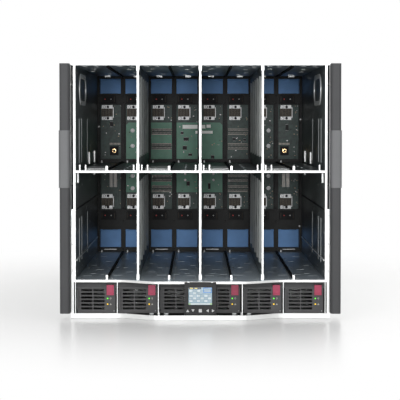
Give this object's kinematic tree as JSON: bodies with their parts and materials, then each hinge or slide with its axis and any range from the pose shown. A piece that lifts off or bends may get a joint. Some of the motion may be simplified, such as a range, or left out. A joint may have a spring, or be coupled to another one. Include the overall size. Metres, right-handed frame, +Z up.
{
  "type": "blade server chassis",
  "caption": "Rack-mounted blade server chassis: open device bays with dividers, shelves and a midplane at the back, over a row of power supplies and a sliding display.",
  "frame": {"origin": "centre of the overall footprint, on the underside", "axes": "+X to the right seen from the front, +Y from the front to the rear, +Z up"},
  "size_m": [0.4826, 0.8126, 0.442],
  "materials": {
    "zinc_sheet": "satin zinc plating",
    "dark_steel": "matt dark grey",
    "black_moulding": "matt",
    "grey_moulding": "satin",
    "circuit_board": "solder mask",
    "connector_moulding": "satin",
    "latch_moulding": "satin",
    "door_moulding": "satin",
    "screen": "glossy",
    "key_moulding": "satin",
    "fan_moulding": "satin"
  },
  "bodies": {
    "chassis": {"base_pan": "zinc_sheet", "left_side_wall": "zinc_sheet", "right_side_wall": "zinc_sheet", "top_cover": "zinc_sheet", "device_bay_floor": "zinc_sheet", "bay_dividers": "zinc_sheet", "bay_shelves": "zinc_sheet", "midplane_frame": "black_moulding", "signal_midplane": "circuit_board", "blade_connectors": "connector_moulding", "power_supply_cage": "zinc_sheet", "rear_cage": "zinc_sheet", "rear_blanks": "grey_moulding", "administrator_modules": "dark_steel", "power_input_module": "dark_steel", "left_rack_bezel": "grey_moulding", "right_rack_bezel": "grey_moulding", "fan_housings": "black_moulding"},
    "display_carriage": {"display_carriage": "black_moulding"},
    "display_head": {"display_head": "black_moulding", "display_screen": "screen"},
    "power_supply_1": {"power_supply_1": "dark_steel"},
    "power_supply_6": {"power_supply_6": "dark_steel"},
    "power_supply_2": {"power_supply_2": "dark_steel"},
    "power_supply_5": {"power_supply_5": "dark_steel"},
    "power_supply_3": {"power_supply_3": "dark_steel"},
    "power_supply_4": {"power_supply_4": "dark_steel"},
    "release_latch_1": {"release_latch_1": "latch_moulding"},
    "release_latch_2": {"release_latch_2": "latch_moulding"},
    "release_latch_3": {"release_latch_3": "latch_moulding"},
    "release_latch_4": {"release_latch_4": "latch_moulding"},
    "release_latch_5": {"release_latch_5": "latch_moulding"},
    "release_latch_6": {"release_latch_6": "latch_moulding"},
    "display_key_up": {"display_key_up": "key_moulding"},
    "display_key_down": {"display_key_down": "key_moulding"},
    "display_key_ok": {"display_key_ok": "key_moulding"},
    "display_key_left": {"display_key_left": "key_moulding"},
    "display_key_right": {"display_key_right": "key_moulding"},
    "upper_air_door_1": {"upper_air_door_1": "door_moulding"},
    "lower_air_door_1": {"lower_air_door_1": "door_moulding"},
    "upper_air_door_5": {"upper_air_door_5": "door_moulding"},
    "lower_air_door_5": {"lower_air_door_5": "door_moulding"},
    "upper_fan_rotor_3": {"upper_fan_rotor_3": "fan_moulding"},
    "lower_fan_rotor_3": {"lower_fan_rotor_3": "fan_moulding"},
    "upper_air_door_2": {"upper_air_door_2": "door_moulding"},
    "lower_air_door_2": {"lower_air_door_2": "door_moulding"},
    "upper_air_door_3": {"upper_air_door_3": "door_moulding"},
    "lower_air_door_3": {"lower_air_door_3": "door_moulding"},
    "upper_air_door_4": {"upper_air_door_4": "door_moulding"},
    "lower_air_door_4": {"lower_air_door_4": "door_moulding"},
    "upper_air_door_6": {"upper_air_door_6": "door_moulding"},
    "lower_air_door_6": {"lower_air_door_6": "door_moulding"},
    "upper_air_door_7": {"upper_air_door_7": "door_moulding"},
    "lower_air_door_7": {"lower_air_door_7": "door_moulding"},
    "upper_air_door_8": {"upper_air_door_8": "door_moulding"},
    "lower_air_door_8": {"lower_air_door_8": "door_moulding"},
    "upper_fan_rotor_4": {"upper_fan_rotor_4": "fan_moulding"},
    "lower_fan_rotor_4": {"lower_fan_rotor_4": "fan_moulding"},
    "upper_fan_rotor_5": {"upper_fan_rotor_5": "fan_moulding"},
    "lower_fan_rotor_5": {"lower_fan_rotor_5": "fan_moulding"}
  },
  "joints": [
    {"name": "display_slide", "type": "slide", "parent": "chassis", "child": "display_carriage", "axis": [1, 0, 0], "range_m": [-0.042, 0.042]},
    {"name": "display_tilt", "type": "hinge", "parent": "display_carriage", "child": "display_head", "pos_m": [0, -0.40225, 0.0623], "axis": [-1, 0, 0], "range_deg": [0, 45]},
    {"name": "power_supply_1_slide", "type": "slide", "parent": "chassis", "child": "power_supply_1", "axis": [0, -1, 0], "range_m": [0, 0.4]},
    {"name": "power_supply_6_slide", "type": "slide", "parent": "chassis", "child": "power_supply_6", "axis": [0, -1, 0], "range_m": [0, 0.4]},
    {"name": "power_supply_2_slide", "type": "slide", "parent": "chassis", "child": "power_supply_2", "axis": [0, -1, 0], "range_m": [0, 0.4]},
    {"name": "power_supply_5_slide", "type": "slide", "parent": "chassis", "child": "power_supply_5", "axis": [0, -1, 0], "range_m": [0, 0.4]},
    {"name": "power_supply_3_slide", "type": "slide", "parent": "chassis", "child": "power_supply_3", "axis": [0, -1, 0], "range_m": [0, 0.009]},
    {"name": "power_supply_4_slide", "type": "slide", "parent": "chassis", "child": "power_supply_4", "axis": [0, -1, 0], "range_m": [0, 0.009]},
    {"name": "release_latch_1_press", "type": "hinge", "parent": "power_supply_1", "child": "release_latch_1", "pos_m": [-0.15533, -0.36815, 0.0417], "axis": [-1, 0, 0], "range_deg": [0, 10], "stiffness_Nm_per_rad": 0.2, "springref_deg": -5.73},
    {"name": "release_latch_2_press", "type": "hinge", "parent": "power_supply_2", "child": "release_latch_2", "pos_m": [-0.08367, -0.36815, 0.0417], "axis": [-1, 0, 0], "range_deg": [0, 10], "stiffness_Nm_per_rad": 0.2, "springref_deg": -5.73},
    {"name": "release_latch_3_press", "type": "hinge", "parent": "power_supply_3", "child": "release_latch_3", "pos_m": [-0.012, -0.36815, 0.0417], "axis": [-1, 0, 0], "range_deg": [0, 10], "stiffness_Nm_per_rad": 0.2, "springref_deg": -5.73},
    {"name": "release_latch_4_press", "type": "hinge", "parent": "power_supply_4", "child": "release_latch_4", "pos_m": [0.05967, -0.36815, 0.0417], "axis": [-1, 0, 0], "range_deg": [0, 10], "stiffness_Nm_per_rad": 0.2, "springref_deg": -5.73},
    {"name": "release_latch_5_press", "type": "hinge", "parent": "power_supply_5", "child": "release_latch_5", "pos_m": [0.13133, -0.36815, 0.0417], "axis": [-1, 0, 0], "range_deg": [0, 10], "stiffness_Nm_per_rad": 0.2, "springref_deg": -5.73},
    {"name": "release_latch_6_press", "type": "hinge", "parent": "power_supply_6", "child": "release_latch_6", "pos_m": [0.203, -0.36815, 0.0417], "axis": [-1, 0, 0], "range_deg": [0, 10], "stiffness_Nm_per_rad": 0.2, "springref_deg": -5.73},
    {"name": "display_key_up_press", "type": "slide", "parent": "display_head", "child": "display_key_up", "axis": [0, 1, 0], "range_m": [0, 0.0008], "stiffness_N_per_m": 400, "springref_m": -0.0004},
    {"name": "display_key_down_press", "type": "slide", "parent": "display_head", "child": "display_key_down", "axis": [0, 1, 0], "range_m": [0, 0.0008], "stiffness_N_per_m": 400, "springref_m": -0.0004},
    {"name": "display_key_ok_press", "type": "slide", "parent": "display_head", "child": "display_key_ok", "axis": [0, 1, 0], "range_m": [0, 0.0008], "stiffness_N_per_m": 400, "springref_m": -0.0004},
    {"name": "display_key_left_press", "type": "slide", "parent": "display_head", "child": "display_key_left", "axis": [0, 1, 0], "range_m": [0, 0.0008], "stiffness_N_per_m": 400, "springref_m": -0.0004},
    {"name": "display_key_right_press", "type": "slide", "parent": "display_head", "child": "display_key_right", "axis": [0, 1, 0], "range_m": [0, 0.0008], "stiffness_N_per_m": 400, "springref_m": -0.0004},
    {"name": "upper_air_door_1_swing", "type": "hinge", "parent": "chassis", "child": "upper_air_door_1", "pos_m": [-0.18812, 0.13235, 0.42845], "axis": [1, 0, 0], "range_deg": [0, 75], "stiffness_Nm_per_rad": 0.02, "springref_deg": -17.19},
    {"name": "lower_air_door_1_swing", "type": "hinge", "parent": "chassis", "child": "lower_air_door_1", "pos_m": [-0.18812, 0.13235, 0.11105], "axis": [1, 0, 0], "range_deg": [0, 75], "stiffness_Nm_per_rad": 0.02, "springref_deg": -17.19},
    {"name": "upper_air_door_5_swing", "type": "hinge", "parent": "chassis", "child": "upper_air_door_5", "pos_m": [0.02687, 0.13235, 0.42845], "axis": [1, 0, 0], "range_deg": [0, 75], "stiffness_Nm_per_rad": 0.02, "springref_deg": -17.19},
    {"name": "lower_air_door_5_swing", "type": "hinge", "parent": "chassis", "child": "lower_air_door_5", "pos_m": [0.02687, 0.13235, 0.11105], "axis": [1, 0, 0], "range_deg": [0, 75], "stiffness_Nm_per_rad": 0.02, "springref_deg": -17.19},
    {"name": "upper_fan_3_spin", "type": "hinge", "parent": "chassis", "child": "upper_fan_rotor_3", "pos_m": [0, 0.33335, 0.384], "axis": [0, 1, 0], "continuous": true},
    {"name": "lower_fan_3_spin", "type": "hinge", "parent": "chassis", "child": "lower_fan_rotor_3", "pos_m": [0, 0.33335, 0.118], "axis": [0, 1, 0], "continuous": true},
    {"name": "upper_air_door_2_swing", "type": "hinge", "parent": "chassis", "child": "upper_air_door_2", "pos_m": [-0.13437, 0.13235, 0.42845], "axis": [1, 0, 0], "range_deg": [0, 75], "stiffness_Nm_per_rad": 0.02, "springref_deg": -17.19},
    {"name": "lower_air_door_2_swing", "type": "hinge", "parent": "chassis", "child": "lower_air_door_2", "pos_m": [-0.13437, 0.13235, 0.11105], "axis": [1, 0, 0], "range_deg": [0, 75], "stiffness_Nm_per_rad": 0.02, "springref_deg": -17.19},
    {"name": "upper_air_door_3_swing", "type": "hinge", "parent": "chassis", "child": "upper_air_door_3", "pos_m": [-0.08063, 0.13235, 0.42845], "axis": [1, 0, 0], "range_deg": [0, 75], "stiffness_Nm_per_rad": 0.02, "springref_deg": -17.19},
    {"name": "lower_air_door_3_swing", "type": "hinge", "parent": "chassis", "child": "lower_air_door_3", "pos_m": [-0.08063, 0.13235, 0.11105], "axis": [1, 0, 0], "range_deg": [0, 75], "stiffness_Nm_per_rad": 0.02, "springref_deg": -17.19},
    {"name": "upper_air_door_4_swing", "type": "hinge", "parent": "chassis", "child": "upper_air_door_4", "pos_m": [-0.02687, 0.13235, 0.42845], "axis": [1, 0, 0], "range_deg": [0, 75], "stiffness_Nm_per_rad": 0.02, "springref_deg": -17.19},
    {"name": "lower_air_door_4_swing", "type": "hinge", "parent": "chassis", "child": "lower_air_door_4", "pos_m": [-0.02687, 0.13235, 0.11105], "axis": [1, 0, 0], "range_deg": [0, 75], "stiffness_Nm_per_rad": 0.02, "springref_deg": -17.19},
    {"name": "upper_air_door_6_swing", "type": "hinge", "parent": "chassis", "child": "upper_air_door_6", "pos_m": [0.08063, 0.13235, 0.42845], "axis": [1, 0, 0], "range_deg": [0, 75], "stiffness_Nm_per_rad": 0.02, "springref_deg": -17.19},
    {"name": "lower_air_door_6_swing", "type": "hinge", "parent": "chassis", "child": "lower_air_door_6", "pos_m": [0.08063, 0.13235, 0.11105], "axis": [1, 0, 0], "range_deg": [0, 75], "stiffness_Nm_per_rad": 0.02, "springref_deg": -17.19},
    {"name": "upper_air_door_7_swing", "type": "hinge", "parent": "chassis", "child": "upper_air_door_7", "pos_m": [0.13437, 0.13235, 0.42845], "axis": [1, 0, 0], "range_deg": [0, 75], "stiffness_Nm_per_rad": 0.02, "springref_deg": -17.19},
    {"name": "lower_air_door_7_swing", "type": "hinge", "parent": "chassis", "child": "lower_air_door_7", "pos_m": [0.13437, 0.13235, 0.11105], "axis": [1, 0, 0], "range_deg": [0, 75], "stiffness_Nm_per_rad": 0.02, "springref_deg": -17.19},
    {"name": "upper_air_door_8_swing", "type": "hinge", "parent": "chassis", "child": "upper_air_door_8", "pos_m": [0.18812, 0.13235, 0.42845], "axis": [1, 0, 0], "range_deg": [0, 75], "stiffness_Nm_per_rad": 0.02, "springref_deg": -17.19},
    {"name": "lower_air_door_8_swing", "type": "hinge", "parent": "chassis", "child": "lower_air_door_8", "pos_m": [0.18812, 0.13235, 0.11105], "axis": [1, 0, 0], "range_deg": [0, 75], "stiffness_Nm_per_rad": 0.02, "springref_deg": -17.19},
    {"name": "upper_fan_4_spin", "type": "hinge", "parent": "chassis", "child": "upper_fan_rotor_4", "pos_m": [-0.086, 0.33335, 0.384], "axis": [0, 1, 0], "continuous": true},
    {"name": "lower_fan_4_spin", "type": "hinge", "parent": "chassis", "child": "lower_fan_rotor_4", "pos_m": [-0.086, 0.33335, 0.118], "axis": [0, 1, 0], "continuous": true},
    {"name": "upper_fan_5_spin", "type": "hinge", "parent": "chassis", "child": "upper_fan_rotor_5", "pos_m": [-0.172, 0.33335, 0.384], "axis": [0, 1, 0], "continuous": true},
    {"name": "lower_fan_5_spin", "type": "hinge", "parent": "chassis", "child": "lower_fan_rotor_5", "pos_m": [-0.172, 0.33335, 0.118], "axis": [0, 1, 0], "continuous": true}
  ]
}
